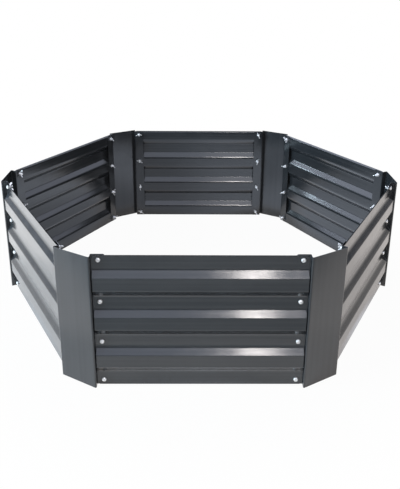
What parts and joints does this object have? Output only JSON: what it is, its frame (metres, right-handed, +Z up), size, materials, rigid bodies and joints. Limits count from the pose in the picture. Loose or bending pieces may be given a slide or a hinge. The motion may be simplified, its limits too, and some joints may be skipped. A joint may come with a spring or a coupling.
{
  "type": "raised garden bed",
  "caption": "Hexagonal raised garden bed: corrugated coated-steel walls screwed to folded corner plates with wing nuts, open at the top and bottom",
  "frame": {"origin": "middle of the bed, on the ground", "axes": "+X from the left corner plate to the right one, +Z up, the front wall faces -Y"},
  "size_m": [1.0152, 0.9226, 0.3],
  "materials": {
    "coated_steel": "satin dark grey coating",
    "zinc_plate": "bright zinc plating"
  },
  "bodies": {
    "root": {"front_wall": "coated_steel", "front_right_wall": "coated_steel", "back_right_wall": "coated_steel", "back_wall": "coated_steel", "back_left_wall": "coated_steel", "front_left_wall": "coated_steel", "front_right_corner": "coated_steel", "right_corner": "coated_steel", "back_right_corner": "coated_steel", "back_left_corner": "coated_steel", "left_corner": "coated_steel", "front_left_corner": "coated_steel", "front_wall_screw_left_1": "zinc_plate", "front_wall_screw_left_2": "zinc_plate", "front_wall_screw_left_3": "zinc_plate", "front_wall_screw_left_4": "zinc_plate", "front_wall_screw_right_1": "zinc_plate", "front_wall_screw_right_2": "zinc_plate", "front_wall_screw_right_3": "zinc_plate", "front_wall_screw_right_4": "zinc_plate", "front_right_wall_screw_left_1": "zinc_plate", "front_right_wall_screw_left_2": "zinc_plate", "front_right_wall_screw_left_3": "zinc_plate", "front_right_wall_screw_left_4": "zinc_plate", "front_right_wall_screw_right_1": "zinc_plate", "front_right_wall_screw_right_2": "zinc_plate", "front_right_wall_screw_right_3": "zinc_plate", "front_right_wall_screw_right_4": "zinc_plate", "back_right_wall_screw_left_1": "zinc_plate", "back_right_wall_screw_left_2": "zinc_plate", "back_right_wall_screw_left_3": "zinc_plate", "back_right_wall_screw_left_4": "zinc_plate", "back_right_wall_screw_right_1": "zinc_plate", "back_right_wall_screw_right_2": "zinc_plate", "back_right_wall_screw_right_3": "zinc_plate", "back_right_wall_screw_right_4": "zinc_plate", "back_wall_screw_left_1": "zinc_plate", "back_wall_screw_left_2": "zinc_plate", "back_wall_screw_left_3": "zinc_plate", "back_wall_screw_left_4": "zinc_plate", "back_wall_screw_right_1": "zinc_plate", "back_wall_screw_right_2": "zinc_plate", "back_wall_screw_right_3": "zinc_plate", "back_wall_screw_right_4": "zinc_plate", "back_left_wall_screw_left_1": "zinc_plate", "back_left_wall_screw_left_2": "zinc_plate", "back_left_wall_screw_left_3": "zinc_plate", "back_left_wall_screw_left_4": "zinc_plate", "back_left_wall_screw_right_1": "zinc_plate", "back_left_wall_screw_right_2": "zinc_plate", "back_left_wall_screw_right_3": "zinc_plate", "back_left_wall_screw_right_4": "zinc_plate", "front_left_wall_screw_left_1": "zinc_plate", "front_left_wall_screw_left_2": "zinc_plate", "front_left_wall_screw_left_3": "zinc_plate", "front_left_wall_screw_left_4": "zinc_plate", "front_left_wall_screw_right_1": "zinc_plate", "front_left_wall_screw_right_2": "zinc_plate", "front_left_wall_screw_right_3": "zinc_plate", "front_left_wall_screw_right_4": "zinc_plate"}
  },
  "joints": []
}
